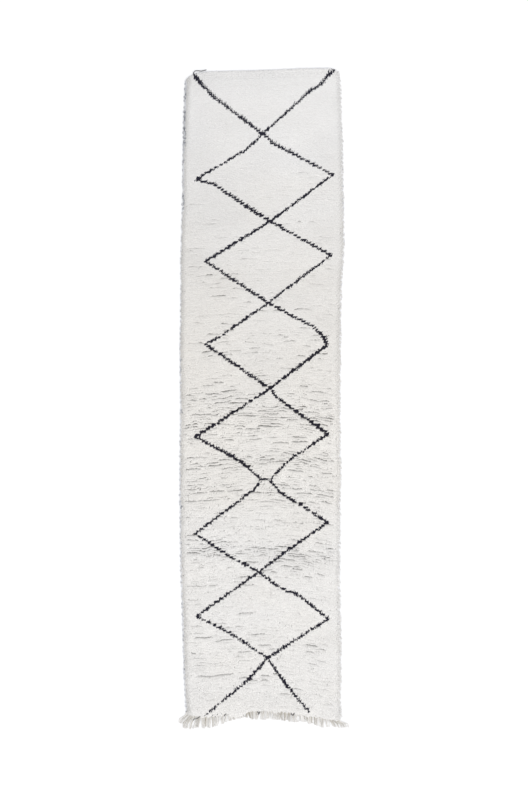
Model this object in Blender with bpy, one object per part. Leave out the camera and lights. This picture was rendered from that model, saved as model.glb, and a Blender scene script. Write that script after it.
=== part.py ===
"""Beni ourain rug: a hand-knotted wool runner, about 0.80 m wide and 3.3 m long, lying flat.

Two pieces. The rug is one woven piece: a flat ground cloth under a thick ivory pile, whose long
sides wander a little, as on any hand-woven piece. The warp ends leave it at its lower end as a
short uneven fringe, which is one comb of flat locks along that edge.

Metres. +Y runs up the rug from the fringed end to the plain end, +X to the right of someone who
looks down on it from the fringed end, +Z up. The origin is on the floor, at the middle of the box
that holds the whole rug.
"""

import math
import random
from bisect import bisect_right
from typing import NamedTuple

import bmesh
import bpy

MM = 0.001

# ---------------------------------------------------------------- driving dimensions

PILE_TOP = 20 * MM          # thickness of ground cloth and pile together
EDGE_WALL = 7 * MM          # height of the bare selvedge, where the pile starts
EDGE_ROUND = 45 * MM        # width of the strip in which the pile rises from the selvedge
SWELL = 0.9 * MM            # half the height of the soft waves in which the pile lies
SWELL_PITCH = 0.23          # length of one wave along the rug
SWELL_SKEW = 0.9            # how far the waves slant across the rug, in radians

EDGE_RINGS = (0.0, 9 * MM, 22 * MM, 45 * MM)    # rows and columns that follow the edges
COLUMNS = 10                # columns between the two outer strips
ROWS = 60                   # rows between the two outer strips

GAP = 0.3 * MM              # between the rug's end and the comb
FRINGE_THICKNESS = 5 * MM
LOCKS = 42                  # locks of warp ends in the comb
LOCK_SPLIT = 0.40           # share of a lock's reach that stays joined to the next one
LOCK_TIP = 0.55             # width of a lock's tip, as a share of the comb's pitch
LOCK_RAGGED = 5 * MM        # how much one lock may be shorter or longer than its neighbours
LOCK_SWAY = 0.14            # how far a tip may lie beside its root, as a share of the pitch
FRINGE_SEED = 7


class Side(NamedTuple):
    """How far the two long sides stand from the middle line at one place along the rug."""
    y: float
    left: float
    right: float


SIDES = (
    Side(y=1.636, left=-0.388, right=0.376),
    Side(y=1.441, left=-0.396, right=0.387),
    Side(y=1.216, left=-0.401, right=0.397),
    Side(y=0.991, left=-0.403, right=0.401),
    Side(y=0.766, left=-0.410, right=0.406),
    Side(y=0.676, left=-0.411, right=0.398),
    Side(y=0.486, left=-0.410, right=0.390),
    Side(y=0.236, left=-0.415, right=0.386),
    Side(y=-0.014, left=-0.413, right=0.381),
    Side(y=-0.264, left=-0.415, right=0.384),
    Side(y=-0.514, left=-0.416, right=0.383),
    Side(y=-0.814, left=-0.412, right=0.379),
    Side(y=-1.014, left=-0.406, right=0.380),
    Side(y=-1.214, left=-0.400, right=0.386),
    Side(y=-1.414, left=-0.394, right=0.383),
    Side(y=-1.560, left=-0.385, right=0.384),
)


class End(NamedTuple):
    """Where the two ends of the pile and the tips of the fringe lie, from left (0) to right (1)."""
    across: float
    top: float
    bottom: float
    tips: float


ENDS = (
    End(across=0.00, top=1.588, bottom=-1.570, tips=-1.620),
    End(across=0.03, top=1.612, bottom=-1.574, tips=-1.648),
    End(across=0.07, top=1.628, bottom=-1.577, tips=-1.653),
    End(across=0.15, top=1.634, bottom=-1.578, tips=-1.649),
    End(across=0.25, top=1.638, bottom=-1.569, tips=-1.625),
    End(across=0.33, top=1.639, bottom=-1.565, tips=-1.601),
    End(across=0.45, top=1.641, bottom=-1.560, tips=-1.608),
    End(across=0.62, top=1.645, bottom=-1.561, tips=-1.613),
    End(across=0.75, top=1.650, bottom=-1.573, tips=-1.624),
    End(across=0.85, top=1.652, bottom=-1.587, tips=-1.636),
    End(across=0.91, top=1.652, bottom=-1.597, tips=-1.648),
    End(across=0.97, top=1.649, bottom=-1.604, tips=-1.652),
    End(across=1.00, top=1.626, bottom=-1.604, tips=-1.648),
)

CORNER_SPLAY = (-0.042, 0.043)      # how far the outer locks lean out at the left and right
SPLAY_REACH = 0.10                  # share of the width over which that lean dies away

# colours as linear values
IVORY_WOOL = (0.80, 0.79, 0.75, 1.0)
WARP_WOOL = (0.74, 0.69, 0.56, 1.0)
WOOL_ROUGHNESS = 0.9


# ---------------------------------------------------------------- the outline

def smooth(rows, key, column, at):
    """A smooth curve through one column of a table, read at a place in its key column."""
    rows = sorted(rows, key=lambda row: getattr(row, key))
    places = [getattr(row, key) for row in rows]
    values = [getattr(row, column) for row in rows]
    last = len(rows) - 1
    at = min(max(at, places[0]), places[last])
    i = min(max(bisect_right(places, at) - 1, 0), last - 1)

    def slope(k):
        low, high = max(k - 1, 0), min(k + 1, last)
        return (values[high] - values[low]) / (places[high] - places[low])

    step = places[i + 1] - places[i]
    t = (at - places[i]) / step
    return ((2 * t**3 - 3 * t**2 + 1) * values[i] + (t**3 - 2 * t**2 + t) * step * slope(i)
            + (3 * t**2 - 2 * t**3) * values[i + 1] + (t**3 - t**2) * step * slope(i + 1))


def side(name, y):
    return smooth(SIDES, "y", name, y)


def end(name, across):
    return smooth(ENDS, "across", name, across)


def plan_point(across, along):
    """The place in plan of a point given as shares of the width (0 to 1) and length (0 to 1)."""
    bottom, top = end("bottom", across), end("top", across)
    y = bottom + (top - bottom) * along
    left, right = side("left", y), side("right", y)
    return left + (right - left) * across, y


def stations(size, middle_count):
    """Shares of a size, from 0 to 1: rings close to both edges, and even steps between them."""
    rings = [ring / size for ring in EDGE_RINGS]
    step = (1 - 2 * rings[-1]) / (middle_count + 1)
    middle = [rings[-1] + step * (i + 1) for i in range(middle_count)]
    return rings + middle + [1 - ring for ring in reversed(rings)]


WIDTH = SIDES[0].right - SIDES[0].left
LENGTH = ENDS[0].top - ENDS[0].bottom
ACROSS = stations(WIDTH, COLUMNS)
ALONG = stations(LENGTH, ROWS)


# ---------------------------------------------------------------- the rug

def pile_height(x, y, inset):
    """Height of the pile over the floor, at a distance in from the nearest edge."""
    rise = min(inset / EDGE_ROUND, 1.0)
    crown = math.sqrt(1 - (1 - rise)**2)
    wave = math.sin(2 * math.pi * y / SWELL_PITCH + SWELL_SKEW * math.sin(5 * x + 2 * y))
    return EDGE_WALL + (PILE_TOP - SWELL - EDGE_WALL + SWELL * wave) * crown


def make_rug():
    """A grid bent to the rug's outline, lifted to the height of the pile over a flat underside."""
    columns, rows = len(ACROSS) - 1, len(ALONG) - 1
    bm = bmesh.new()
    bmesh.ops.create_grid(bm, x_segments=columns, y_segments=rows, size=0.5)
    for vert in bm.verts:
        column = round((vert.co.x + 0.5) * columns)
        row = round((vert.co.y + 0.5) * rows)
        vert.co.x, vert.co.y = plan_point(ACROSS[column], ALONG[row])
    underside = bm.faces[:]
    raised = bmesh.ops.extrude_face_region(bm, geom=underside, use_keep_orig=True)
    for vert in (item for item in raised["geom"] if isinstance(item, bmesh.types.BMVert)):
        x, y = vert.co.x, vert.co.y
        across = (x - side("left", y)) / (side("right", y) - side("left", y))
        inset = min(x - side("left", y), side("right", y) - x,
                    end("top", across) - y, y - end("bottom", across))
        vert.co.z = pile_height(x, y, max(inset, 0.0))
    bmesh.ops.dissolve_limit(bm, angle_limit=math.radians(0.01),
                             verts=list({v for f in underside for v in f.verts}),
                             edges=list({e for f in underside for e in f.edges}))
    bmesh.ops.triangulate(bm, faces=bm.faces[:])
    bmesh.ops.recalc_face_normals(bm, faces=bm.faces[:])
    mesh = bpy.data.meshes.new("rug")
    bm.to_mesh(mesh)
    bm.free()
    mesh.shade_smooth()
    mesh.set_sharp_from_angle(angle=math.radians(35))
    return bpy.data.objects.new("rug", mesh)


# ---------------------------------------------------------------- the fringe

def splay(across):
    """How far the tips lean sideways: outwards near the two corners, nowhere else."""
    near_left = max(0.0, 1 - across / SPLAY_REACH)
    near_right = max(0.0, 1 - (1 - across) / SPLAY_REACH)
    return CORNER_SPLAY[0] * near_left + CORNER_SPLAY[1] * near_right


def root_point(across):
    """A point on the comb's straight side, which runs along the end of the rug."""
    x, y = plan_point(across, 0.0)
    return x, y - GAP


def comb_outline():
    """The comb from above: along the end of the rug, then back from lock to lock."""
    rng = random.Random(FRINGE_SEED)
    points = [root_point(across) for across in ACROSS]
    pitch = 1 / LOCKS
    width = points[-1][0] - points[0][0]
    for lock in reversed(range(LOCKS)):
        middle = (lock + 0.5) * pitch
        root_x, root_y = root_point(middle)
        tip_y = end("tips", middle) + rng.uniform(0, LOCK_RAGGED)
        tip_x = root_x + splay(middle) + rng.uniform(-1, 1) * LOCK_SWAY * pitch * width
        half = LOCK_TIP * pitch * width / 2
        points.append((tip_x + half, tip_y))
        points.append((tip_x - half, tip_y))
        if lock:
            valley = lock * pitch
            valley_x, valley_y = root_point(valley)
            depth = LOCK_SPLIT * (end("tips", valley) - valley_y)
            points.append((valley_x + splay(valley) * LOCK_SPLIT, valley_y + depth))
    return points


def make_fringe():
    """A flat outline, half its thickness to each side, lying on the floor."""
    curve = bpy.data.curves.new("fringe", "CURVE")
    curve.dimensions = "2D"
    curve.fill_mode = "BOTH"
    curve.extrude = FRINGE_THICKNESS / 2
    outline = comb_outline()
    spline = curve.splines.new("POLY")
    spline.points.add(len(outline) - 1)
    for point, (x, y) in zip(spline.points, outline):
        point.co = (x, y, 0.0, 1.0)
    spline.use_cyclic_u = True
    fringe = bpy.data.objects.new("fringe", curve)
    fringe.location.z = FRINGE_THICKNESS / 2
    return fringe


# ---------------------------------------------------------------- materials and scene

def wool(name, color):
    material = bpy.data.materials.new(name)
    material.use_nodes = True
    shader = material.node_tree.nodes["Principled BSDF"]
    shader.inputs["Base Color"].default_value = color
    shader.inputs["Roughness"].default_value = WOOL_ROUGHNESS
    shader.inputs["Metallic"].default_value = 0.0
    material.diffuse_color = color
    return material


def main():
    for thing in list(bpy.data.objects):
        bpy.data.objects.remove(thing)
    collection = bpy.data.collections.new("beni_ourain_rug")
    bpy.context.scene.collection.children.link(collection)
    pieces = ((make_rug(), wool("ivory_wool", IVORY_WOOL)),
              (make_fringe(), wool("warp_wool", WARP_WOOL)))
    for piece, material in pieces:
        piece.data.materials.append(material)
        collection.objects.link(piece)


main()
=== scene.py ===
"""The looks of a beni ourain rug: a hand-knotted wool runner lying on a pale floor.

The ground cloth, the knotted pile, the dark lozenge chain, the selvedges and the fringe are all
modelled as wool yarn over the CAD solids, whose outline is measured by rays. Metres, in the CAD's
own frame: +Y runs up the rug from the fringed end to the plain end, +Z is up, the floor is z = 0.
"""

import math
from typing import NamedTuple

import bpy
import numpy as np
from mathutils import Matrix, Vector
from mathutils.bvhtree import BVHTree


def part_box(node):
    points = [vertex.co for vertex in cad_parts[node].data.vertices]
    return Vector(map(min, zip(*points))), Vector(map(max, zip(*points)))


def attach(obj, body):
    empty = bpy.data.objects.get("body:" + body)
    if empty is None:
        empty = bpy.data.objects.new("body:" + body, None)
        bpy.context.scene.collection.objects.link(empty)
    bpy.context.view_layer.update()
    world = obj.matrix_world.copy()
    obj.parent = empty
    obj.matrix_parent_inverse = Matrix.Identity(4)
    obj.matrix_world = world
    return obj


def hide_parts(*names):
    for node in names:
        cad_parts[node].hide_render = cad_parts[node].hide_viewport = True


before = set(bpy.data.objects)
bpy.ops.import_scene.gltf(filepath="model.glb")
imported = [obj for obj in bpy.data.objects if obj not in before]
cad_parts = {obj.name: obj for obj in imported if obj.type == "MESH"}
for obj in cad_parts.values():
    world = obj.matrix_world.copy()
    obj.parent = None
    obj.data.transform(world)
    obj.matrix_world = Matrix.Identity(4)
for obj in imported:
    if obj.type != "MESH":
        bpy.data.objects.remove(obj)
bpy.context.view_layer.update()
MM = 0.001
SEED = 20

# -------------------- the camera, floor and lights

FRAME_SIZE = (2.64, 3.96)      # what the picture takes in, width and height
FRAME_MIDDLE = (0.004, 0.011)  # the picture's middle on the rug
LENS = 85.0                    # mm, on a 36 mm long side
SENSOR = 36.0
FLOOR_REACH = 40.0
SKY_STRENGTH = 0.99
KEY_STRENGTH = 1.0

# -------------------- the pile

ROW_PITCH = 10.8 * MM             # from one row of knots to the next
KNOT_PITCH = 7.4 * MM             # from one knot to the next in a row
GROUND_BOTTOM = 0.8 * MM          # underside of the ground cloth
GROUND_MARGIN = 3.5 * MM          # from the rug's outline to the ground cloth's rim
GROUND_TOP = 3.6 * MM
PILE_RISE = 12.0 * MM             # from there to the middle of a yarn that lies over
LOCK_REACH = 23.0 * MM            # how far the tip of a yarn end lies from its knot
LOCK_WIDTH = 9.0 * MM
LOCK_THICKNESS = 6.2 * MM
LOCK_LAY = 12.0 * MM              # length of one turn of its two plies
ENDS_APART = 3.6 * MM             # between the two yarn ends of one knot
ROOT_SHADE = 0.35                 # painted shade: how much darker the roots are painted where the pile lies close
SAG_SHADE = 0.32                  # painted shade: how much darker the wool is painted below a crease
EDGE_ROUND = 42.0 * MM            # strip along the edges in which the pile slopes down
LEFT_PAINTED_SHADE = 0.32                  # painted shade: how much darker the wool is painted along the left side
EDGE_LEAN = 26.0 * MM             # strip along the edges in which the locks lean outwards
SEEN_SHARES = (0.30, 0.55, 0.80)  # places along the top rows' ends where dark wool may start
HEM = 4.0 * MM                    # bare strip between the pile and the two ends
BARE_SIDE = 6.0 * MM              # and between the pile and the two selvedges
TUFT_PITCH = 30.0 * MM            # from one grey tuft along the left side to the next
TUFT_DEPTH = 15.0 * MM            # how far in from the side they reach
# painted shade: how much darker the grey tufts along the left side are painted
TUFT_PAINTED_SHADE = 0.35
PILE_BANDS = 5                    # pieces into which the ivory pile is split along the rug


class Ring(NamedTuple):
    """One ring of a yarn end, as shares of its reach, rise and width. bow is its share of the
    yarn's sideways bend, skew of its slanting cut, sag how far it sinks under a crease; tone is 0
    dull to 1 bright, a painted shade that darkens each yarn towards its root."""
    reach: float
    rise: float
    width: float
    bow: float
    skew: float
    sag: float
    tone: float


LOCK_RINGS = (
    Ring(0.03, 0.2, 0.85, 0.0, 0.0, 0.0, 0.0),
    Ring(0.32, 0.82, 1.0, 0.7, 0.2, 0.42, 0.92),
    Ring(0.9, 1.0, 0.8, 1.0, 1.0, 0.12, 1.0),
)
LOCK_TIP = Ring(1.0, 0.88, 0.0, 0.9, 0.0, 0.08, 0.97)


class Arch(NamedTuple):
    """One point of a yarn's arched section, as shares of half its width and half its thickness."""
    side: float
    up: float


LOCK_ARCH = (Arch(-1.0, -0.60), Arch(0.0, 1.0), Arch(1.0, -0.60))


def table(kind, rows, unit=1.0):
    """A table of one kind of row, its values given in metres or in another unit."""
    return tuple(kind(*(value * unit for value in row)) for row in rows)


class Zone(NamedTuple):
    """How the pile lies at one place along the rug: how readily it parts from row to row and how
    wide it gapes there, how warm its wool is, how unevenly its ends lie and how bright they are,
    all from 0 to about 1, and how far it leans to the left, in radians."""
    y: float
    parting: float
    gape: float
    warmth: float
    ruffle: float
    tone: float
    lean: float


ZONES = table(Zone, (
    (1.64, 0.1, 0.05, 0.05, 0.15, 0.91, 0.1),
    (1.34, 0.2, 0.1, 0.05, 0.15, 0.91, 0.2),
    (1.2, 0.5, 0.4, 0.15, 0.2, 0.91, 0.5),
    (1.0, 0.9, 0.62, 0.4, 0.3, 0.9, 0.6),
    (0.6, 0.9, 0.64, 0.65, 0.35, 0.9, 0.6),
    (0.3, 0.92, 0.78, 0.85, 0.46, 0.905, 0.55),
    (0.06, 0.92, 0.82, 0.95, 0.54, 0.915, 0.45),
    (-0.03, 1.0, 1.1, 0.95, 0.8, 0.95, 0.35),
    (-0.13, 1.0, 1.22, 0.95, 0.8, 0.96, 0.35),
    (-0.17, 0.95, 0.85, 0.9, 0.75, 0.96, 0.35),
    (-0.24, 0.95, 0.85, 0.9, 0.75, 0.96, 0.35),
    (-0.28, 1.0, 1.2, 0.85, 0.8, 0.96, 0.35),
    (-0.33, 1.0, 1.15, 0.85, 0.8, 0.96, 0.35),
    (-0.37, 0.95, 0.8, 0.85, 0.75, 0.96, 0.35),
    (-0.43, 1.0, 1.05, 0.8, 0.8, 0.96, 0.35),
    (-0.5, 1.0, 0.95, 0.8, 0.8, 0.96, 0.35),
    (-0.56, 0.95, 0.75, 0.7, 0.75, 0.96, 0.3),
    (-0.68, 0.95, 0.8, 0.6, 0.75, 0.96, 0.3),
    (-0.74, 1.0, 1.1, 0.45, 0.8, 0.96, 0.25),
    (-0.8, 1.0, 1.05, 0.45, 0.8, 0.96, 0.25),
    (-0.86, 0.9, 0.72, 0.45, 0.75, 0.97, 0.2),
    (-1.05, 0.9, 0.64, 0.45, 0.7, 0.97, 0.1),
    (-1.2, 0.9, 0.72, 0.45, 0.7, 0.97, 0.05),
    (-1.38, 0.9, 0.8, 0.45, 0.7, 0.97, 0.1),
    (-1.48, 0.8, 0.6, 0.45, 0.7, 0.95, 0.15),
    (-1.6, 0.3, 0.25, 0.4, 0.7, 0.94, 0.15),
))


class Crease(NamedTuple):
    """A place where the pile has parted: from left to right, how far it climbs, how wide it gapes."""
    y: float
    left: float
    right: float
    climb: float
    gape: float


CREASES = table(Crease, (
    (0.159, 0.075, 0.185, 0, 0.6), (0.15, 0.215, 0.35, -0.024, 0.5),
    (0.236, -0.06, 0.04, 0.006, 0.4), (0.204, 0.01, 0.11, -0.006, 0.4),
    (-0.006, -0.37, -0.28, 0.008, 0.6), (-0.004, 0.23, 0.335, -0.01, 0.7),
    (-0.079, -0.36, -0.215, 0.006, 0.8), (-0.086, -0.135, 0.085, -0.012, 0.8),
    (-0.094, 0.265, 0.325, -0.01, 0.7), (-0.144, -0.135, -0.055, 0.006, 0.6),
    (-0.214, 0.035, 0.235, 0.012, 0.7), (-0.304, -0.235, -0.115, 0, 0.7),
    (-0.303, -0.02, 0.135, -0.008, 1.0), (-0.299, 0.16, 0.335, 0.01, 0.7),
    (-0.45, -0.39, -0.30, 0.004, 0.7), (-0.459, -0.28, -0.09, -0.008, 0.8),
    (-0.464, -0.06, 0.06, -0.006, 0.7), (-0.474, 0.16, 0.36, -0.012, 0.8),
    (-0.519, 0.16, 0.285, 0.006, 0.6), (-0.588, -0.24, -0.11, -0.008, 0.5),
    (-0.619, 0.13, 0.215, 0.004, 0.5), (-0.774, -0.39, -0.23, -0.006, 1.0),
    (-0.779, -0.29, -0.20, 0.016, 0.7), (-0.752, -0.145, -0.01, 0.025, 0.8),
    (-0.751, -0.03, 0.115, -0.025, 1.0), (-0.774, 0.12, 0.24, -0.02, 1.2),
    (-0.784, 0.265, 0.335, -0.03, 0.8), (-0.879, 0.195, 0.31, 0.006, 0.6),
    (-0.934, -0.34, -0.215, 0.01, 0.6), (-1.064, -0.14, -0.04, 0.004, 0.6),
    (-1.194, -0.355, -0.14, -0.008, 0.7), (-1.269, -0.365, -0.29, 0.006, 0.6),
    (-1.379, -0.34, -0.14, -0.004, 1.0), (-1.372, -0.016, 0.095, 0.008, 0.8),
    (-1.40, -0.13, 0.035, -0.02, 0.7),
))


class Slit(NamedTuple):
    """A crease as it lies in the pile: just above one row of knots, from left to right."""
    row: int
    left: float
    right: float
    gape: float


SLIT_LENGTH = (40.0 * MM, 155.0 * MM)
SLIT_SPACE = (0.0, 30.0 * MM)       # from one place to the next in a row
SLIT_GAPE = (0.25, 1.05)
SLIT_OVERLAP = 0.55                 # share of a crease that may lie right above or below another
RIPPLE_GAPE = 0.62                  # how far the rows part between the creases, at most
SLIT_ABOVE = 2.0 * MM               # how far above its row of knots a crease is seen

# -------------------- the lozenge chain

DARK_UNEVEN = (0.16, 0.24)          # how much the width of a dark line varies along it
DARK_CELL = (75.0 * MM, 17.0 * MM)  # and over what lengths
DARK_WIDTH = 1.10                   # a dark lock against an ivory one
DARK_REACH = 0.88
DARK_RISE = 1.04


class Point(NamedTuple):
    """A place on a dark line, with half the width that the line has there."""
    x: float
    y: float
    half: float


# Two dark lines run down the rug and cross seven times, with six lozenges between them.
LINE_A = table(Point, (
    (-343, 1606, 6), (-321, 1579, 6.8), (-250, 1503, 6.6), (-3, 1317, 7.2), (49, 1271, 7.6),
    (346, 1114, 5.4), (34, 881, 5.6), (-288, 681, 6.2), (25, 475, 6.2), (261, 347, 6),
    (309, 293, 9), (315, 262, 7.6), (34, 47, 5.2), (-339, -196, 7), (-180, -278, 6.6),
    (-108, -320, 7), (-10, -408, 5.4), (34, -412, 4.1), (85, -470, 6.4), (155, -516, 6.4),
    (321, -622, 5.8), (110, -770, 5.6), (-21, -868, 4.8), (-333, -1092, 5.2), (-176, -1168, 5.6),
    (21, -1300, 6), (104, -1419, 5.8), (209, -1547, 5.8), (236, -1574, 3),
), MM)
LINE_B = table(Point, (
    (359, 1646, 5.6), (289, 1566, 6), (234, 1531, 6.4), (-3, 1317, 4.5), (-81, 1241, 4.4),
    (-336, 1090, 4.8), (-252, 1068, 5.6), (-190, 1028, 7.2), (-128, 984, 7.8), (34, 881, 6.2),
    (337, 711, 5), (25, 475, 5.4), (-216, 304, 5.8), (-291, 269, 7.4), (34, 47, 6.2), (62, 8, 6),
    (180, -80, 7.2), (324, -180, 6.6), (150, -296, 5), (74, -364, 4.8), (37, -410, 4.1),
    (-10, -410, 4.1), (-47, -458, 5.4), (-339, -677, 5.8), (-150, -804, 5.6), (-21, -868, 5),
    (44, -922, 4.7), (104, -957, 4.6), (184, -989, 5.8), (324, -1104, 5.6), (150, -1215, 5.6),
    (21, -1300, 7.2), (-66, -1399, 7), (-136, -1460, 4.4), (-216, -1524, 4), (-281, -1579, 4.2),
), MM)
# Single dark tufts: near the dark lines' corners and ends, and along the left side.
SPECKS = table(Point, (
    (-338, 1604, 9), (-398, 1541, 6), (-400, 1503, 5), (-399, 1463, 5), (326, 1634, 3),
    (-338, -197, 6.5), (-322, -200, 6.5), (223, -1554, 8.5),
), MM)


class Overhang(NamedTuple):
    """A stretch of the lower end where the pile hangs down over the fringe."""
    left: float
    right: float
    reach: float


OVERHANGS = table(Overhang, (
    (-0.33, -0.262, 1.15), (-0.172, -0.085, 1.85), (-0.085, 0.06, 0.5), (0.06, 0.12, 0.7),
    (0.12, 0.19, 0.8), (0.262, 0.42, 0.6),
))

# -------------------- edges and fringe

class Side(NamedTuple):
    """A long side: its name, which way is out, then along the rug its cord's radius and how
    bright its grey wool is painted, darker on the left as painted shade, as pairs of a place and a
    value; how far apart its weft loops are and how far they stand out, at least and at most."""
    name: str
    outward: int
    radius: tuple
    tone: tuple
    loop_pitch: float
    loop_reach: tuple


SIDES = (
    # The left side is painted darker than the right, most towards the plain end: painted shade on the
    # side away from the lamp.
    Side("left", -1, ((0.8, 4.2 * MM), (1.0, 5.4 * MM)),
         ((-1.6, 0.76), (-0.6, 0.78), (0.9, 0.74), (1.1, 0.62), (1.3, 0.52)),
         27 * MM, (1 * MM, 5 * MM)),
    Side("right", 1, ((0.0, 4.2 * MM),), ((0.0, 0.88),), 38 * MM, (0.5 * MM, 3.5 * MM)),
)
SELVEDGE_WRAP = 9.0 * MM  # length of one turn of the yarn that binds a side
LOOP_RADIUS = 1.8 * MM
HEM_RADIUS = 2.9 * MM
HEM_BEAD = 4.8 * MM       # from one bead of a hem cord to the next

FRINGE_LOCKS = 42
LOCK_STRANDS = 5                # plied warp ends in each lock
CORNER_SPLAY = (-0.042, 0.043)  # how far the outer locks lean out at the left and right
SPLAY_REACH = 0.10              # share of the width over which that lean dies away
FRINGE_TONES = ((-0.39, 0.68), (-0.36, 0.56), (-0.20, 0.58), (-0.10, 0.68), (0.12, 0.68),
                (0.24, 0.62), (0.36, 0.62), (0.38, 0.44))   # x, and how bright it is there
STRAND_RADIUS = 2.6 * MM
STRAND_LAY = 13.0 * MM  # length of one turn of a strand's two plies
YARN_RADIUS = 2.1 * MM  # of the ends of dark yarn
TRAILING_RADIUS = 1.8 * MM


class Route(NamedTuple):
    """One point of a loose yarn's route."""
    x: float
    y: float
    z: float


# An end of dark yarn left lying across the top left corner.
LOOSE_YARN = table(Route, (
    (-346, 1610, 13), (-349, 1622, 9), (-344, 1632, 6), (-334, 1637, 4), (-310, 1635, 5),
    (-294, 1638, 6), (-282, 1642, 5),
), MM)
# Another along the foot of the fringe, bottom left.
TRAILING_YARN = table(Route, (
    (-278, -1574, 13), (-294, -1586, 9), (-312, -1589, 7), (-330, -1600, 7), (-345, -1604, 6),
    (-352, -1614, 5),
), MM)


class YarnEnd(NamedTuple):
    """A short end of dark yarn at the foot of the fringe: its root, and where it runs from there."""
    x: float
    y: float
    run: float
    drop: float


YARN_ENDS = table(YarnEnd, (
    (-250, -1578, -8, 16), (-229, -1576, -10, 18), (-206, -1574, -5, 12), (-186, -1574, -9, 16),
    (-28, -1564, 7, 14), (-16, -1566, -10, 18), (140, -1571, 6, 17), (156, -1570, -7, 18),
    (243, -1572, 5, 12),
), MM)


# -------------------- noise

def lattice(column, row, number):
    """A repeatable value from 0 to 1 for each point of one of many lattices."""
    value = np.sin(column * 127.1 + row * 311.7 + (SEED + number) * 74.7) * 43758.5453
    return value - np.floor(value)


def noise(x, y, number):
    """Smooth noise from -1 to 1, with one swell in each unit cell."""
    column, row = np.floor(x), np.floor(y)
    fx, fy = x - column, y - row
    fx, fy = fx * fx * (3 - 2 * fx), fy * fy * (3 - 2 * fy)
    low, high = (lattice(column, line, number) * (1 - fx) + lattice(column + 1, line, number) * fx
                 for line in (row, row + 1))
    return 2 * (low * (1 - fy) + high * fy) - 1


def read_pairs(pairs, at):
    """A value between those that pairs of a place and a value give."""
    return np.interp(at, *zip(*pairs))


def curve(places, values):
    """A function that reads a value between those given at a few places."""
    return lambda at: np.interp(at, places, values)


def ease(low, high, value):
    """0 below low, 1 above high, and a smooth rise between them."""
    t = np.clip((value - low) / (high - low), 0, 1)
    return t * t * (3 - 2 * t)


# -------------------- the rug's outline

class Outline:
    """The edges of the CAD rug, read by rays along its walls close to the floor."""

    RAY_HEIGHT = MM
    FAR = 3.0
    CORNER = 60.0 * MM  # the sides are read up to this far from the ends

    def __init__(self, node, fringe):
        low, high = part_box(node)
        walls = self.walls(node)
        self.ys = np.linspace(low.y + self.CORNER, high.y - self.CORNER, 600)
        self.left, self.right = (
            curve(self.ys, [self.ray(walls, (-way * self.FAR, y), (way, 0)).x for y in self.ys])
            for way in (1, -1))
        self.xs, self.top_xs = (
            np.linspace(self.across(0.002, y), self.across(0.998, y), 300)
            for y in (self.ys[0], self.ys[-1]))
        self.bottom, self.top = (
            curve(xs, [self.ray(walls, (x, -way * self.FAR), (0, way)).y for x in xs])
            for xs, way in ((self.xs, 1), (self.top_xs, -1)))
        low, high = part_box(fringe)
        walls = self.walls(fringe)
        xs = np.linspace(low.x + MM, high.x - MM, 420)
        hits = [self.ray(walls, (x, -self.FAR), (0, 1)) for x in xs]
        tips = np.array([hit.y if hit else high.y for hit in hits])
        self.tip = curve(xs, [tips[max(i - 6, 0):i + 7].min() for i in range(len(tips))])

    @staticmethod
    def walls(node):
        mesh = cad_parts[node].data
        return BVHTree.FromPolygons([v.co for v in mesh.vertices],
                                    [p.vertices for p in mesh.polygons])

    def ray(self, walls, start, direction):
        return walls.ray_cast(Vector((*start, self.RAY_HEIGHT)), Vector((*direction, 0)))[0]

    def across(self, share, y):
        """The x of a point given as a share of the width, from left (0) to right (1)."""
        return self.left(y) + (self.right(y) - self.left(y)) * share

    def place(self, share_x, share_y, margin=0.0):
        """Plan coordinates of points given as shares of the width and of the length."""
        bottom = self.bottom(self.across(share_x, self.ys[0])) + margin
        top = self.top(self.across(share_x, self.ys[-1])) - margin
        y = bottom + (top - bottom) * share_y
        left, right = self.left(y) + margin, self.right(y) - margin
        return left + (right - left) * share_x, y

    def insets(self, x, y):
        """Distances in from the left, right, bottom and top edges."""
        return (x - self.left(y), self.right(y) - x, y - self.bottom(x), self.top(x) - y)


# -------------------- meshes from arrays

def mesh_object(name, vertices, faces, attributes=(), smooth=True):
    """A mesh from arrays: faces all of one size, and named values for each vertex."""
    mesh = bpy.data.meshes.new(name)
    count, corners = faces.shape
    mesh.vertices.add(len(vertices))
    mesh.vertices.foreach_set("co", np.asarray(vertices, np.float32).ravel())
    mesh.loops.add(count * corners)
    mesh.loops.foreach_set("vertex_index", np.asarray(faces, np.int32).ravel())
    mesh.polygons.add(count)
    mesh.polygons.foreach_set("loop_start", np.arange(0, count * corners, corners, dtype=np.int32))
    mesh.update(calc_edges=True)
    mesh.validate()
    mesh.polygons.foreach_set("use_smooth", np.full(len(mesh.polygons), smooth))
    for label, values in dict(attributes).items():
        layer = mesh.attributes.new(label, "FLOAT", "POINT")
        layer.data.foreach_set("value", np.asarray(values, np.float32))
    thing = bpy.data.objects.new(name, mesh)
    bpy.context.scene.collection.objects.link(thing)
    return thing


def add_piece(thing, material, slot, *nodes):
    """Gives a piece its material, hangs it on the root body and hides the CAD nodes that it stands
    for. Its slot is not used.
    """
    thing.data.materials.append(material)
    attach(thing, "root")
    if nodes:
        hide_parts(*nodes)
    return thing


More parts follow.
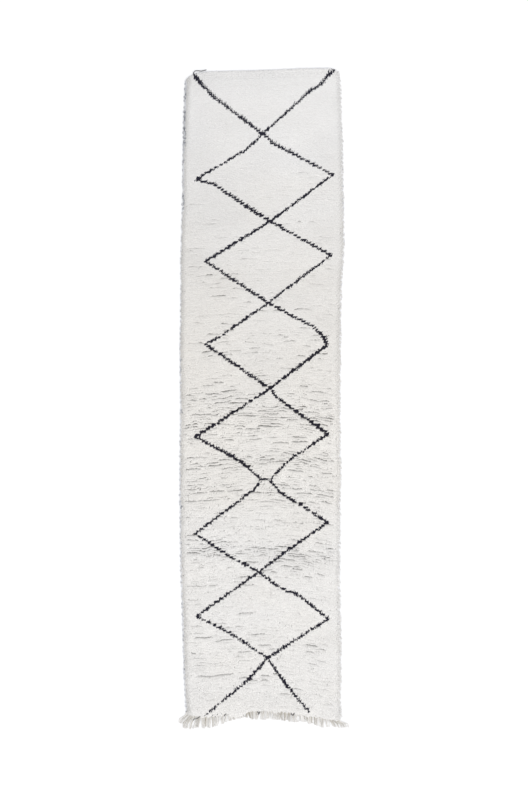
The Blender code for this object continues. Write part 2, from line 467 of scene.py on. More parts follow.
class Locks:
    """Many ends of pile yarn at once, with an array for each of their values: x and y where they
    are knotted, lean which way they lie, and reach, rise and width how far, high and wide."""

    def __init__(self, **values):
        vars(self).update(values)

    def pick(self, chosen):
        return Locks(**{name: values[chosen] for name, values in vars(self).items()})

    def visible(self, share=0.75):
        """The place in plan where the eye sees a yarn end: well out along it."""
        seen = share * self.reach
        return self.x + seen * np.cos(self.lean), self.y + seen * np.sin(self.lean)

    def point(self, ring):
        """The middle of one ring of every yarn end."""
        cos, sin = np.cos(self.lean), np.sin(self.lean)
        out, aside = ring.reach * self.reach, ring.bow * self.bow
        rise = self.rise * (ring.rise - ring.sag * self.sag) - self.droop * ring.reach**2
        return np.stack([self.x + cos * out - sin * aside, self.y + sin * out + cos * aside,
                         GROUND_TOP + rise], axis=1)

    def mesh(self, name):
        """Each end is an arched yarn, bent over, with a blunt tip, and coordinates of its own."""
        count = len(self.x)
        cos, sin = np.cos(self.lean), np.sin(self.lean)
        side = np.stack([-sin, cos, np.zeros(count)], axis=1)
        points, values = [], []

        def add(place, ring, across):
            points.append(place)
            # painted shade: each yarn is darker towards its root, more so where a crease opens above
            # its row
            shade = (1 - ring.tone) * (ROOT_SHADE + (1 - ROOT_SHADE) * np.minimum(self.sag, 1))
            tone = np.clip(self.tone * (1 - shade) - SAG_SHADE * ring.sag * self.sag, 0, 1)
            along = self.turn + ring.reach * self.reach / LOCK_LAY
            values.append((tone, self.warmth, along, np.full(count, across)))

        for i, ring in enumerate(LOCK_RINGS):
            after = self.point(LOCK_RINGS[i + 1] if i + 1 < len(LOCK_RINGS) else LOCK_TIP)
            before = self.point(LOCK_RINGS[max(i - 1, 0)])
            slope = np.arctan2(after[:, 2] - before[:, 2],
                               np.hypot(after[:, 0] - before[:, 0], after[:, 1] - before[:, 1]))
            up = np.stack([-np.sin(slope) * cos, -np.sin(slope) * sin, np.cos(slope)], axis=1)
            middle = self.point(ring)
            for arch in LOCK_ARCH:
                out = 0.5 * ring.width * arch.side * self.width
                over = 0.5 * arch.up * LOCK_THICKNESS
                across = out * np.cos(self.roll) - over * np.sin(self.roll)
                above = out * np.sin(self.roll) + over * np.cos(self.roll)
                slant = ring.skew * arch.side * self.skew
                place = middle + side * across[:, None] + up * above[:, None]
                place += np.stack([cos * slant, sin * slant, 0 * slant], axis=1)
                add(place, ring, arch.side)
        add(self.point(LOCK_TIP), LOCK_TIP, 0.0)
        width, last = len(LOCK_ARCH), (len(LOCK_RINGS) - 1) * len(LOCK_ARCH)
        faces = []
        for start in range(0, last, width):
            for a in range(start, start + width - 1):
                faces += [(a, a + width, a + width + 1), (a, a + width + 1, a + 1)]
        faces += [(a, last + width, a + 1) for a in range(last, last + width - 1)]
        all_faces = np.array(faces) + np.arange(count)[:, None, None] * len(points)
        values = np.transpose(values, (1, 2, 0)).reshape(4, -1)
        return mesh_object(name, np.stack(points, axis=1).reshape(-1, 3), all_faces.reshape(-1, 3),
                           dict(zip(("tone", "warmth", "along", "across"), values)))


def run_along(path):
    """How far along a path each of its points is."""
    return np.concatenate([[0.0], np.cumsum(np.linalg.norm(np.diff(path, axis=0), axis=1))])


def across_path(path):
    """Unit vectors to the side of a path and up from it, at each of its points."""
    along = np.gradient(path, axis=0)
    along /= np.linalg.norm(along, axis=1)[:, None]
    side = np.cross(along, (0.0, 0.0, 1.0))
    side /= np.linalg.norm(side, axis=1)[:, None]
    return side, np.cross(side, along)


class Yarns:
    """Tubes of yarn collected into one mesh."""

    def __init__(self):
        self.vertices, self.faces, self.tones = [], [], []

    def tube(self, path, radii, sides, tones):
        """A round tube along a path. Radii and tones are single values, or one for each point, or
        one for each vertex."""
        count = len(path)
        radii, tones = (np.broadcast_to(np.transpose(values), (sides, count)).T
                        for values in (radii, tones))
        side, up = across_path(path)
        angles = (np.arange(sides) * 2 * math.pi / sides)[:, None]
        rings = path[:, None] + radii[:, :, None] * (side[:, None] * np.cos(angles)
                                                     + up[:, None] * np.sin(angles))
        index = sum(map(len, self.vertices)) + np.arange(count * sides).reshape(count, sides)
        turned = np.roll(index, -1, axis=1)
        quads = np.stack([index[:-1], turned[:-1], turned[1:], index[1:]], axis=-1)
        self.vertices.append(rings.reshape(-1, 3))
        self.faces.append(quads.reshape(-1, 4))
        self.tones.append(tones.ravel())

    def plied(self, path, radius, lay, tone, fray, phase=0.0):
        """Two plies twisted round each other, which part and thin out towards the end."""
        run = run_along(path)
        share = run / run[-1]
        loose = ease(0.72, 1.0, share) * fray
        side, up = across_path(path)
        ply = 0.56 * radius
        away = (radius - ply) * (1 + 1.6 * loose)
        ends = np.minimum(ease(-0.02, 0.03, share), 1 - 0.9 * ease(0.93, 1.0, share))
        for half in (0.0, math.pi):
            turn = phase + half + 2 * math.pi * run / lay
            centre = (path + side * (away * np.cos(turn))[:, None]
                      + up * (away * np.sin(turn) * (1 - 0.5 * loose))[:, None])
            centre[:, 2] = np.maximum(centre[:, 2], ply)
            self.tube(centre, ply * ends * (1 - 0.35 * loose), 5, tone)

    def mesh(self, name):
        tones = np.concatenate(self.tones)
        values = {"tone": tones, "warmth": np.full(len(tones), 0.5)}
        return mesh_object(name, np.concatenate(self.vertices), np.concatenate(self.faces), values)


def smooth_path(points, spacing):
    """Points at an even spacing along a smooth curve through a few given ones."""
    points = np.asarray(points, float)
    before = np.concatenate([[2 * points[0] - points[1]], points, [2 * points[-1] - points[-2]]])
    t = np.linspace(0, 1, 12, endpoint=False)[:, None]
    runs = [0.5 * (2 * p1 + (p2 - p0) * t + (2 * p0 - 5 * p1 + 4 * p2 - p3) * t**2
                   + (3 * p1 - p0 - 3 * p2 + p3) * t**3)
            for p0, p1, p2, p3 in zip(before[:-3], before[1:-2], before[2:-1], before[3:])]
    fine = np.concatenate(runs + [points[-1:]])
    run = run_along(fine)
    even = np.linspace(0, run[-1], max(4, round(run[-1] / spacing) + 1))
    return np.stack([np.interp(even, run, fine[:, k]) for k in range(3)], axis=1)


# -------------------- the pile

def by_zone(name, y):
    """One column of the table of zones, read at places along the rug."""
    return np.interp(-y, [-zone.y for zone in ZONES], [getattr(zone, name) for zone in ZONES])


def row_wave(outline, x, y):
    """How far a row of knots wanders from its place, up or down, and less so near the edges."""
    inset = np.minimum.reduce(outline.insets(x, y))
    gape = by_zone("gape", y)
    wave = 4.5 * MM * noise(x / 0.17, y / 0.075, 3)
    wave += 4.8 * MM * gape * noise(x / 0.050, y / 0.050, 18)
    wave += 3.2 * MM * gape * noise(x / 0.024, y / 0.036, 4)
    return wave * ease(0, EDGE_ROUND, inset)


def crowded(slits, row, left, right):
    """Whether a crease would lie right above or below another over much of its length."""
    return any(min(slit.right, right) - max(slit.left, left) > SLIT_OVERLAP * (right - left)
               for near in (row - 1, row, row + 1) for slit in slits.get(near, ()))


def find_slits(outline, rows):
    """The creases of the table, each along the row of knots next to it, and many smaller ones."""
    rng = np.random.default_rng(SEED + 4)
    places = (np.arange(rows) + 0.5) / rows
    slits = {}
    for crease in CREASES:
        steps = round(abs(crease.climb) / ROW_PITCH) + 1
        length = (crease.right - crease.left) / steps
        for i in range(steps):
            middle = crease.left + (i + 0.5) * length
            y = crease.y + crease.climb * ((i + 0.5) / steps - 0.5)
            share = (middle - outline.left(y)) / (outline.right(y) - outline.left(y))
            row_x, row_y = outline.place(np.full(rows, share), places)
            row_y += row_wave(outline, row_x, row_y) + SLIT_ABOVE
            row = int(np.argmin(np.abs(row_y - y)))
            slit = Slit(row, middle - 0.65 * length, middle + 0.65 * length, 1.2 * crease.gape)
            slits.setdefault(row, []).append(slit)
    left, right = outline.left(outline.ys).min(), outline.right(outline.ys).max()
    for row, place in enumerate(places):
        _, y = outline.place(0.5, place)
        parting, gaping = by_zone("parting", y), by_zone("gape", y)
        x = left + rng.uniform(*SLIT_SPACE)
        while x < right:
            length, gape, chance = rng.uniform(*SLIT_LENGTH), rng.uniform(*SLIT_GAPE), rng.uniform()
            cluster = noise((x + 0.5 * length) / 0.20, y / 0.045, 23)
            gape *= gaping * (0.74 + 0.90 * by_zone("ruffle", y) * cluster)
            if chance < parting and not crowded(slits, row, x, x + length):
                slits.setdefault(row, []).append(Slit(row, x, x + length, gape))
            x += length + rng.uniform(*SLIT_SPACE)
    return slits


def slit_depth(slits, row, x, y):
    """How far the pile gapes just above a row of knots, at places along it."""
    ripple = 0.5 + 0.5 * noise(x / 0.034, row * 3.7, 22)
    depth = RIPPLE_GAPE * by_zone("gape", y) * (0.6 + 0.6 * by_zone("ruffle", y)) * ripple
    for number, slit in enumerate(slit for near in slits.values() for slit in near):
        at = np.nonzero(row == slit.row)[0]
        share = (x[at] - slit.left) / (slit.right - slit.left)
        uneven = 0.90 + 0.22 * noise(x[at] / 0.022, number * 1.9, 16)
        open_here = slit.gape * uneven * ease(0, 0.30, share) * ease(1, 0.70, share)
        depth[at] = np.maximum(depth[at], open_here)
    return depth


def make_knots(outline):
    """One lock for each knot, in rows that wave a little across the rug."""
    rng = np.random.default_rng(SEED)
    low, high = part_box("rug")
    rows = round((high.y - low.y) / ROW_PITCH)
    columns = round((high.x - low.x) / KNOT_PITCH)
    row, column = np.meshgrid(np.arange(rows), np.arange(columns), indexing="ij")
    row, column = row.ravel(), column.ravel()
    share_x = (column + 0.5 + 0.5 * (row % 2)) / (columns + 0.5)
    x, y = outline.place(share_x, (row + 0.5) / rows)
    count = len(x)
    insets = outline.insets(x, y)
    inset_left, inset_right, inset_bottom, inset_top = insets
    inset = np.minimum.reduce(insets)
    calm = ease(0, EDGE_ROUND, inset)
    y += row_wave(outline, x, y)
    x += rng.uniform(-1, 1, count) * 0.9 * MM
    y += rng.uniform(-1, 1, count) * 0.7 * MM
    knots = Locks(x=x, y=y, width=np.full(count, LOCK_WIDTH), upward=np.zeros(count))

    ruffle = by_zone("ruffle", y)
    swirl = 0.22 * noise(x / 0.12, y / 0.14, 5) + 0.12 * noise(x / 0.03, y / 0.03, 6)
    near_left, near_right = ease(EDGE_LEAN, 0, inset_left), ease(EDGE_LEAN, 0, inset_right)
    knots.lean = -math.pi / 2 - by_zone("lean", y) * (1 - 0.6 * near_left)
    knots.lean += swirl * (0.4 + 0.6 * ruffle)
    knots.lean += ruffle * rng.normal(0, 0.06, count)
    knots.lean += near_right - 0.1 * near_left

    slits = find_slits(outline, rows)
    fall = LOCK_REACH * np.cos(knots.lean)
    above, far_above = (slit_depth(slits, row + k, x, y) * calm for k in (0, 1))
    below = slit_depth(slits, row - 1, x + 0.5 * fall, y) * calm
    far_below = slit_depth(slits, row - 2, x + fall, y) * calm

    crown = np.sqrt(1 - (1 - np.clip(inset / EDGE_ROUND, 0, 1))**2)
    knots.rise = PILE_RISE * (0.35 + 0.65 * crown) * (1 + 0.05 * noise(x / 0.06, y / 0.05, 7))
    knots.rise *= (0.75 + 0.25 * ruffle) * (1 + 0.16 * below + 0.08 * far_below)
    knots.sag = np.clip(above + 0.25 * far_above, 0, 1.2)
    knots.gape = np.clip(np.maximum.reduce([above, below, far_below]), 0, 1)
    knots.reach = LOCK_REACH * (1.16 - 0.16 * ruffle) * (1 - 0.50 * ease(0, 0.75, below))
    knots.reach *= 1 - 0.14 * ease(0, 0.75, far_below)
    scallop = 0.5 + 0.5 * noise(y / 0.013, 0, 17)
    knots.reach *= 1 - near_left * (0.42 + 0.32 * scallop) - near_right * (0.20 + 0.38 * scallop)
    knots.droop = 7 * MM * ease(EDGE_ROUND, 0, inset)
    at_top = (inset_top > HEM + 0.6 * ROW_PITCH) & (inset_top < HEM + 2.6 * ROW_PITCH)
    knots.upward[at_top] = inset_top[at_top] - 2.0 * MM
    at_foot = ease(22 * MM, 8 * MM, inset_bottom)
    knots.reach *= 1 - at_foot * (0.20 + 0.25 * noise(x / 0.016, 0, 19))
    for overhang in OVERHANGS:
        within = ease(overhang.left, overhang.left + 12 * MM, x)
        within *= ease(overhang.right, overhang.right - 12 * MM, x)
        knots.reach *= 1 + at_foot * within * (overhang.reach - 1)
        knots.rise *= 1 - 0.25 * at_foot * within * (overhang.reach - 1)
    knots.tone = by_zone("tone", y) + 0.02 * ruffle * rng.normal(0, 1, count)
    # painted highlight: locks whose tips hang over a crease below are painted brighter
    knots.tone += 0.03 * noise(x / 0.16, y / 0.10, 8) + 0.05 * below
    # painted shade: darker along the left side, away from the lamp, and along the right side, where
    # the pile slopes down
    knots.tone -= LEFT_PAINTED_SHADE * ease(40 * MM, 6 * MM, inset_left)
    knots.tone -= 0.20 * ease(24 * MM, 4 * MM, inset_right)
    knots.tone -= 0.05 * ease(0.10, -0.35, x) * ease(0.3, 0.9, y)
    knots.warmth = np.clip(by_zone("warmth", y) + 0.15 * noise(x / 0.20, y / 0.12, 11), 0, 1)
    keep = (inset_bottom > HEM) & (inset_top > HEM)
    keep &= (inset_left > BARE_SIDE + 3 * MM) & (inset_right > BARE_SIDE)
    return knots.pick(keep)


def part_ends(knots):
    """The two ends of yarn that each knot leaves, side by side and never quite alike."""
    rng = np.random.default_rng(SEED + 3)
    count = 2 * len(knots.x)
    ends = knots.pick(np.repeat(np.arange(len(knots.x)), 2))
    side = np.tile((-1.0, 1.0), len(knots.x))
    loose = 0.25 + 0.75 * by_zone("ruffle", ends.y)
    free = loose * (1 - 0.75 * ends.gape)
    ends.x += 0.5 * side * ENDS_APART + rng.uniform(-1, 1, count) * 0.7 * MM
    ends.y += rng.uniform(-1, 1, count) * 2.4 * MM * free
    ends.lean += 0.06 * side + rng.normal(0, 0.12, count) * loose
    ends.reach *= 1 + 0.12 * rng.normal(0, 1, count) * free
    ends.rise *= 1 + 0.06 * rng.normal(0, 1, count) * free
    ends.width *= 1 + 0.10 * rng.normal(0, 1, count) * loose
    ends.bow = rng.normal(0, 1.3 * MM, count) * loose
    ends.skew = rng.normal(0, 1.3 * MM, count) * loose
    ends.roll = rng.normal(0, 0.12, count) * loose
    ends.tone = np.clip(ends.tone + 0.025 * rng.normal(0, 1, count) * loose, 0, 1)
    ends.turn = rng.uniform(0, 1, count)
    up = (ends.upward > 0) & (side > 0)
    ends.lean[up] = 0.5 * math.pi + rng.normal(0, 0.25, up.sum())
    ends.reach[up] = ends.upward[up] * rng.uniform(0.85, 1.1, up.sum())
    ends.droop[up] = 6 * MM
    return ends


def line_nearness(x, y, line):
    """Distance from points to a line of straight runs, as a share of half its width there."""
    best = np.full(len(x), np.inf)
    for start, end in zip(line[:-1], line[1:]):
        dx, dy = end.x - start.x, end.y - start.y
        t = np.clip(((x - start.x) * dx + (y - start.y) * dy) / (dx * dx + dy * dy), 0, 1)
        away = np.hypot(x - start.x - t * dx, y - start.y - t * dy)
        best = np.minimum(best, away / (start.half + t * (end.half - start.half)))
    return best


def grey_knots(outline, locks):
    """Which knots are of the selvedge's grey wool, painted darker as shade: small tufts along the
    left side, more of them near the plain end."""
    inset = locks.x - outline.left(locks.y)
    share = np.interp(locks.y, (-1.5, 0.6, 1.1), (0.10, 0.22, 0.62))
    tuft = 0.5 + 0.5 * noise(locks.y / TUFT_PITCH, 0, 24)
    depth = TUFT_DEPTH * (0.7 + 0.5 * noise(locks.y / 0.05, 0, 25))
    return (inset < depth) & (tuft < share) & (locks.y < outline.top(locks.x) - 0.06)


def dark_at(x, y):
    """Which places are within a dark line, whose width wanders."""
    wander = np.ones(len(x))
    for uneven, cell in zip(DARK_UNEVEN, DARK_CELL):
        wander *= 1 + uneven * noise(x / cell, y / cell, 9)
    dark = np.minimum(line_nearness(x, y, LINE_A), line_nearness(x, y, LINE_B)) < wander
    for speck in SPECKS:
        dark |= np.hypot(x - speck.x, y - speck.y) < speck.half
    return dark


# -------------------- the ground cloth and its edges

def make_ground(outline):
    """The woven ground: one closed sheet with a rib along its back under each row of knots. Its
    rim is read from the CAD rug."""
    low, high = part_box("rug")
    columns, rows = 14, 2 * round((high.y - low.y) / ROW_PITCH) + 1
    share_y, share_x = np.meshgrid(np.linspace(0, 1, rows), np.linspace(0, 1, columns),
                                   indexing="ij")
    x, y = outline.place(share_x.ravel(), share_y.ravel(), GROUND_MARGIN)
    rib = np.repeat(np.arange(rows) % 2, columns)
    top = np.stack([x, y, np.full(len(x), GROUND_TOP)], axis=1)
    bottom = np.stack([x, y, GROUND_BOTTOM * (1.6 - 1.2 * rib)], axis=1)
    index = np.arange(rows * columns).reshape(rows, columns)
    quads = np.stack([index[:-1, :-1], index[:-1, 1:], index[1:, 1:], index[1:, :-1]], axis=-1)
    quads = quads.reshape(-1, 4)
    rim = np.concatenate([index[0, :-1], index[:-1, -1], index[-1, :0:-1], index[:0:-1, 0]])
    after = np.roll(rim, -1)
    under = rows * columns
    wall = np.stack([rim + under, after + under, after, rim], axis=-1)
    faces = np.concatenate([quads, quads[:, ::-1] + under, wall])
    return mesh_object("ground_cloth", np.concatenate([top, bottom]), faces, smooth=False)


def side_run(outline, edge, step):
    """Places along one side, from corner to corner."""
    middle = edge(0.0)
    return np.arange(outline.bottom(middle) + 5 * MM, outline.top(middle) - 3 * MM, step)


def blunt(run, length):
    """How thick a cord is along its run: full, but closed at its two ends."""
    from_end = np.minimum(run - run[0], run[-1] - run)
    return ease(-0.1 * length, length, from_end)


def make_selvedge(outline, side):
    """A cord of warps along one side, bound round and round with yarn."""
    edge, inward = getattr(outline, side.name), -side.outward
    y = side_run(outline, edge, 2.3 * MM)
    sides = 10
    thick = read_pairs(side.radius, y)
    wander = 1.5 * MM * noise(y / 0.024, 0, 12) + MM * noise(y / 0.06, 0, 0)
    x = edge(y) + inward * (thick + 1.5 * MM) + wander
    turn = math.pi * y[:, None] / SELVEDGE_WRAP + math.pi * np.arange(sides) / sides
    wrap = np.abs(np.sin(turn))
    radii = (thick * blunt(y, 8 * MM))[:, None] * (0.84 + 0.18 * wrap)
    path = np.stack([x, y, thick + 0.2 * MM], axis=1)
    shade = read_pairs(side.tone, y) + 0.12 * noise(y / 0.028, 0, 13)
    shade -= 0.40 * ease(0.35, 0.75, noise(y / 0.011, inward, 26))
    yarns = Yarns()
    # painted shade: lighter on each turn of the binding yarn, darker in the hollows between
    yarns.tube(path, radii, sides, np.clip(shade[:, None] + 0.16 * (wrap - 0.6), 0, 1))
    return yarns.mesh(f"selvedge_{side.name}")


def make_weft_loops(outline, side):
    """Small loops along one side, where the wefts turn back into the ground."""
    rng = np.random.default_rng(SEED + 2)
    edge = getattr(outline, side.name)
    yarns = Yarns()
    for y in side_run(outline, edge, side.loop_pitch):
        y += rng.uniform(-0.3, 0.3) * side.loop_pitch
        out = side.outward * rng.uniform(*side.loop_reach)
        half = rng.uniform(2.6, 5.0) * MM
        x = edge(y)
        foot = x - side.outward * 3 * MM
        points = [(foot, y + half, 5 * MM), (x + 0.6 * out, y + 0.9 * half, 3.6 * MM),
                  (x + out, y - 0.2 * half, 2.4 * MM), (x + 0.4 * out, y - half, 2.4 * MM),
                  (foot, y - half, 3 * MM)]
        # painted shade: the loops take their side's tone, darker on the left
        shade = np.clip(read_pairs(side.tone, y) + rng.normal(0, 0.10), 0, 1)
        yarns.tube(smooth_path(points, 2.4 * MM), LOOP_RADIUS, 5, shade)
    return yarns.mesh(f"weft_loops_{side.name}")


def make_hem(name, edge, ends, inward, cords, tone):
    """Plain weft cords packed side by side across one end of the rug."""
    yarns = Yarns()
    x = np.arange(ends[0] + 3 * MM, ends[1] - 3 * MM, 3.0 * MM)
    for cord in range(cords):
        y = edge(x) + inward * (HEM_RADIUS + cord * 1.7 * HEM_RADIUS)
        y += 0.6 * MM * noise(x / 0.03, cord * 2.3, 14)
        beads = np.abs(np.sin(math.pi * (x / HEM_BEAD + 0.5 * cord)))
        radii = HEM_RADIUS * (0.86 + 0.16 * beads)
        z = radii + 0.2 * MM + 1.4 * MM * min(cord, 1)      # the first is the edge, the rest lie over
        # painted shade: lighter on each bead, darker between them
        yarns.tube(np.stack([x, y, z], axis=1), radii * blunt(x, 6 * MM), 6, tone + 0.15 * beads)
    return yarns.mesh(name)


def splay(share):
    """How far the fringe leans sideways: outwards near the two corners, nowhere else."""
    near_left = np.clip(1 - share / SPLAY_REACH, 0, 1)
    near_right = np.clip(1 - (1 - share) / SPLAY_REACH, 0, 1)
    return CORNER_SPLAY[0] * near_left + CORNER_SPLAY[1] * near_right


def make_fringe(outline):
    """The warp ends: in each lock of the comb a few twisted strands, frayed at their tips."""
    rng = np.random.default_rng(SEED + 1)
    yarns = Yarns()
    first, last = outline.xs[[0, -1]]
    for lock in range(FRINGE_LOCKS):
        middle_x = first + (last - first) * (lock + 0.5) / FRINGE_LOCKS
        lock_tone = read_pairs(FRINGE_TONES, middle_x) + rng.uniform(-0.28, 0.20)
        lock_sway = rng.uniform(-1, 1) * 7 * MM
        lock_short = rng.uniform(0, 1)**2 * 9 * MM
        gather = rng.uniform(0.55, 1.0)
        for strand in range(LOCK_STRANDS):
            share = (lock + 0.5 + (strand - 0.5 * (LOCK_STRANDS - 1)) * 0.205) / FRINGE_LOCKS
            root_x = first + (last - first) * share
            root_y = outline.bottom(root_x)
            tip_x = middle_x + gather * (root_x - middle_x) + splay(share) + lock_sway
            tip_x += rng.normal(0, 2.2 * MM)
            tip_y = outline.tip(tip_x) - 5 * MM + lock_short + rng.uniform(0, 6 * MM)
            flare = abs(splay(share)) / CORNER_SPLAY[1]
            tip_y = min(tip_y, root_y - 20 * MM)
            bow = rng.normal(0, 3.0 * MM)
            lift = rng.uniform(2.4, 4.2) * MM
            dx, dy = tip_x - root_x, tip_y - root_y
            points = [(root_x, root_y + 5 * MM, 3.2 * MM),
                      (root_x + 0.15 * dx + 0.3 * bow, root_y + 0.25 * dy, 3.2 * MM),
                      (root_x + (0.55 + 0.35 * flare) * dx + bow, root_y + 0.60 * dy, lift),
                      (tip_x, tip_y, 1.9 * MM)]
            path = smooth_path(points, 2.8 * MM)
            # painted shade: each strand is darker at its root, under the pile, and brighter towards
            # its tip
            tone = np.clip(lock_tone + rng.normal(0, 0.24)
                           + 0.30 * ease(0.5, 1.0, np.linspace(0, 1, len(path))), 0, 1)
            yarns.plied(path, STRAND_RADIUS * rng.uniform(0.85, 1.15), STRAND_LAY, tone,
                        fray=1.0, phase=rng.uniform(0, 2 * math.pi))
    return yarns.mesh("warp_fringe")


def make_loose_yarn(name, route, radius):
    """An end of dark yarn that lies free on the rug."""
    yarns = Yarns()
    yarns.plied(smooth_path(route, 2.2 * MM), radius, 9 * MM, 0.6, fray=0.8)
    return yarns.mesh(name)


def make_yarn_ends(name):
    """Short ends of dark yarn that hang out at the foot of the fringe."""
    yarns = Yarns()
    for x, y, run, drop in YARN_ENDS:
        route = [(x, y, 11 * MM), (x + 0.2 * run, y - 0.35 * drop, 8 * MM),
                 (x + 0.8 * run, y - 0.7 * drop, 6 * MM), (x + run, y - drop, 4.5 * MM)]
        yarns.plied(smooth_path(route, 2.2 * MM), YARN_RADIUS, 8 * MM, 0.8, fray=1.0)
    return yarns.mesh(name)


# -------------------- materials

def principled(name, roughness, sheen=0.0):
    """A material with its Principled shader's plain values set on the shader's own sockets."""
    material = bpy.data.materials.new(name)
    material.use_nodes = True
    shader = material.node_tree.nodes["Principled BSDF"]
    shader.inputs["Roughness"].default_value = roughness
    shader.inputs["Sheen Weight"].default_value = sheen
    shader.inputs["Sheen Roughness"].default_value = 0.5
    shader.inputs["Specular IOR Level"].default_value = 0.25
    return material, material.node_tree, shader


def add_node(tree, kind, inputs=(), **settings):
    """A shader node with its settings; each input is a plain value or another node's output."""
    node = tree.nodes.new("ShaderNode" + kind)
    for name, value in settings.items():
        setattr(node, name, value)
    for key, value in dict(inputs).items():
        if isinstance(value, bpy.types.NodeSocket):
            tree.links.new(value, node.inputs[key])
        else:
            node.inputs[key].default_value = value
    return node


def attribute(tree, name):
    return add_node(tree, "Attribute", attribute_name=name).outputs["Fac"]


def math_node(tree, operation, *values):
    return add_node(tree, "Math", enumerate(values), operation=operation).outputs["Value"]


def ramp(tree, factor, dull, bright, span=(0.0, 1.0)):
    """A colour between two, by a factor over a span of its values."""
    node = add_node(tree, "ValToRGB", {"Fac": factor})
    for element, place, color in zip(node.color_ramp.elements, span, (dull, bright)):
        element.position = place
        element.color = (*color, 1)
    return node.outputs["Color"]


def mix(tree, first, second, blend="MULTIPLY", factor=1.0):
    """Two colours multiplied, or mixed by a factor."""
    return add_node(tree, "Mix", {"Factor": factor, 6: first, 7: second}, data_type="RGBA",
                    blend_type=blend).outputs[2]


def surface(tree, shader, color, height, strength, distance):
    """Gives a shader its colour, and the bump that a height makes."""
    bump = add_node(tree, "Bump", {"Height": height, "Strength": strength, "Distance": distance})
    tree.links.new(color, shader.inputs["Base Color"])
    tree.links.new(bump.outputs["Normal"], shader.inputs["Normal"])


def fibres(tree):
    """Fine fibres drawn out along the yarns, from 0 to 1."""
    place = add_node(tree, "TexCoord").outputs["Object"]
    drawn = add_node(tree, "Mapping", {"Vector": place, "Rotation": (0, 0, 0.4),
                                       "Scale": (1.0, 0.22, 1.0)}).outputs["Vector"]
    return add_node(tree, "TexNoise", {"Vector": drawn, "Scale": 700.0, "Detail": 3.0}).outputs["Fac"]


def plies(tree):
    """The two plies of a pile yarn, from 0 in the furrow to 1, by the yarn's own coordinates."""
    turns = math_node(tree, "MULTIPLY_ADD", attribute(tree, "across"), 0.30, attribute(tree, "along"))
    wave = math_node(tree, "SINE", math_node(tree, "MULTIPLY", turns, 2 * math.pi))
    return math_node(tree, "MULTIPLY_ADD", wave, 0.5, 0.5)


def wool(name, dull, bright, warm, sheen=0.15):
    """Wool: dull at the root and bright at the tip as painted shade, by each yarn's own tone and
    warmth.
    """
    material, tree, shader = principled(name, 0.92, sheen)
    tone, warmth = attribute(tree, "tone"), attribute(tree, "warmth")
    color = mix(tree, ramp(tree, tone, dull, bright), ramp(tree, tone, dull, warm), "MIX", warmth)
    fuzz, twist = fibres(tree), plies(tree)
    streaks = ramp(tree, fuzz, (0.93, 0.928, 0.926), (1.04, 1.04, 1.04), (0.36, 0.64))
    # painted shade in the furrow between the two plies
    furrow_shade = ramp(tree, twist, (0.93, 0.93, 0.93), (1.03, 1.03, 1.03), (0.0, 0.6))
    color = mix(tree, mix(tree, color, streaks), furrow_shade)
    surface(tree, shader, color, math_node(tree, "ADD", fuzz, twist), 0.4, 0.6 * MM)
    return material


def weave(name, dull, bright, pitch):
    """Plain weave: warps and wefts that pass over and under each other, painted darker in the hollows
    between them as shade.
    """
    material, tree, shader = principled(name, 0.95, 0.1)
    place = add_node(tree, "TexCoord").outputs["Object"]
    parts = add_node(tree, "SeparateXYZ", {"Vector": place}).outputs
    waves = [math_node(tree, "SINE", math_node(tree, "MULTIPLY", parts[axis], math.pi / length))
             for axis, length in zip("XY", pitch)]
    height = math_node(tree, "ABSOLUTE", math_node(tree, "MULTIPLY", *waves))
    surface(tree, shader, ramp(tree, height, dull, bright), height, 0.8, 1.0 * MM)
    return material


# -------------------- floor, light and camera

def make_stage():
    """A pale floor, an even studio sky and one broad soft lamp, all plain."""
    floor_material, _, shader = principled("pale_floor", 0.9)
    shader.inputs["Base Color"].default_value = (0.90, 0.90, 0.90, 1)
    corners = FLOOR_REACH * np.array([(-1, -1, 0), (1, -1, 0), (1, 1, 0), (-1, 1, 0)])
    floor = mesh_object("floor", corners, np.array([(0, 1, 2, 3)]), smooth=False)
    floor.data.materials.append(floor_material)
    world = bpy.data.worlds.new("studio")
    world.use_nodes = True
    sky = world.node_tree.nodes["Background"]
    sky.inputs["Color"].default_value = (0.97, 0.98, 1.0, 1)
    sky.inputs["Strength"].default_value = SKY_STRENGTH
    bpy.context.scene.world = world
    lamp = bpy.data.lights.new("key", "SUN")
    lamp.energy = KEY_STRENGTH
    lamp.color = (1.0, 0.985, 0.965)
    lamp.angle = math.radians(60)
    key = bpy.data.objects.new("key", lamp)
    key.rotation_euler = (math.radians(30), math.radians(25), 0)
    bpy.context.scene.collection.objects.link(key)
    bpy.context.scene.view_settings.view_transform = "Standard"


def make_camera():
    data = bpy.data.cameras.new("camera")
    data.lens, data.sensor_width = LENS, SENSOR
    camera = bpy.data.objects.new("camera", data)
    camera.location = (*FRAME_MIDDLE, FRAME_SIZE[1] * LENS / SENSOR)
    data.clip_end = 100.0
    bpy.context.scene.collection.objects.link(camera)
    bpy.context.scene.camera = camera


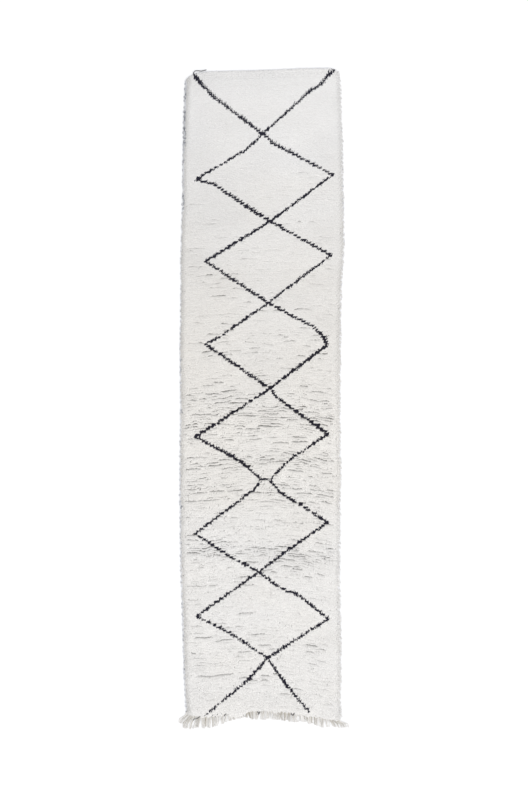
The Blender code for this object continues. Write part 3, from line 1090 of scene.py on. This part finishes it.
def main():
    make_camera()
    make_stage()
    outline = Outline("rug", "fringe")
    low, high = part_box("rug")

    # Each wool's dull colour, at tone 0, is painted shade: at the roots, in the creases and along the
    # sides.
    ivory = wool("ivory_wool", (0.19, 0.183, 0.172), (0.862, 0.854, 0.846), (0.858, 0.833, 0.795))
    charcoal = wool("charcoal_wool", (0.006, 0.006, 0.010), (0.020, 0.020, 0.034),
                    (0.022, 0.020, 0.030), sheen=0.05)
    grey = wool("selvedge_wool", (0.12, 0.13, 0.15), (0.80, 0.80, 0.82), (0.80, 0.80, 0.82))
    warp = wool("warp_wool", (0.40, 0.365, 0.30), (0.84, 0.83, 0.84), (0.84, 0.82, 0.77))
    # The ground cloth is beige wool, painted darker than the pile as shade where it shows in the
    # creases.
    ground_wool = weave("ground_wool", (0.40, 0.36, 0.30), (0.66, 0.63, 0.56), (5 * MM, 6 * MM))

    ground = add_piece(make_ground(outline), ground_wool, "ground_wool", "rug")
    knots = make_knots(outline)
    dark = np.repeat(dark_at(*knots.visible()), 2)
    grey_shaded = np.repeat(grey_knots(outline, knots), 2) & ~dark
    locks = part_ends(knots)
    over_hem = locks.upward > 0
    seen = [dark_at(*locks.pick(over_hem).visible(share)) for share in SEEN_SHARES]
    dark[over_hem] = np.any(seen, axis=0)
    locks.width[dark] *= DARK_WIDTH
    locks.reach[dark] *= DARK_REACH
    locks.rise[dark] *= DARK_RISE
    pale = locks.pick(~dark & ~grey_shaded)
    band = (pale.y - low.y) / (high.y - low.y) * PILE_BANDS
    band = np.clip(band.astype(int), 0, PILE_BANDS - 1)
    pile = [add_piece(pale.pick(band == i).mesh(f"ivory_pile_{i + 1}"), ivory, "ivory_wool", "rug")
            for i in range(PILE_BANDS)]
    pile.append(add_piece(locks.pick(dark).mesh("dark_pile"), charcoal, "charcoal_wool", "rug"))
    # painted shade: the grey tufts along the left side are painted darker
    locks.tone[grey_shaded] -= TUFT_PAINTED_SHADE
    pile.append(add_piece(locks.pick(grey_shaded).mesh("grey_tufts"), grey, "ground_wool", "rug"))

    top_run, bottom_run = outline.top_xs[[0, -1]], outline.xs[[0, -1]]
    edges = [add_piece(make(outline, side), grey, "ground_wool")
             for make in (make_selvedge, make_weft_loops) for side in SIDES]
    # The top hem is in the bluish grey wool, partly painted shade along the top edge.
    hem_top = make_hem("hem_top", outline.top, top_run, inward=-1, cords=2, tone=0.85)
    hem_bottom = make_hem("hem_bottom", outline.bottom, bottom_run, inward=1, cords=3, tone=0.75)
    edges.append(add_piece(hem_top, grey, "ground_wool"))
    edges.append(add_piece(hem_bottom, warp, "warp_wool"))
    fringe = add_piece(make_fringe(outline), warp, "warp_wool", "fringe")
    yarns = (make_loose_yarn("loose_yarn", LOOSE_YARN, YARN_RADIUS),
             make_loose_yarn("trailing_yarn", TRAILING_YARN, TRAILING_RADIUS),
             make_yarn_ends("yarn_ends"))
    loose = [add_piece(yarn, charcoal, "charcoal_wool") for yarn in yarns]


main()
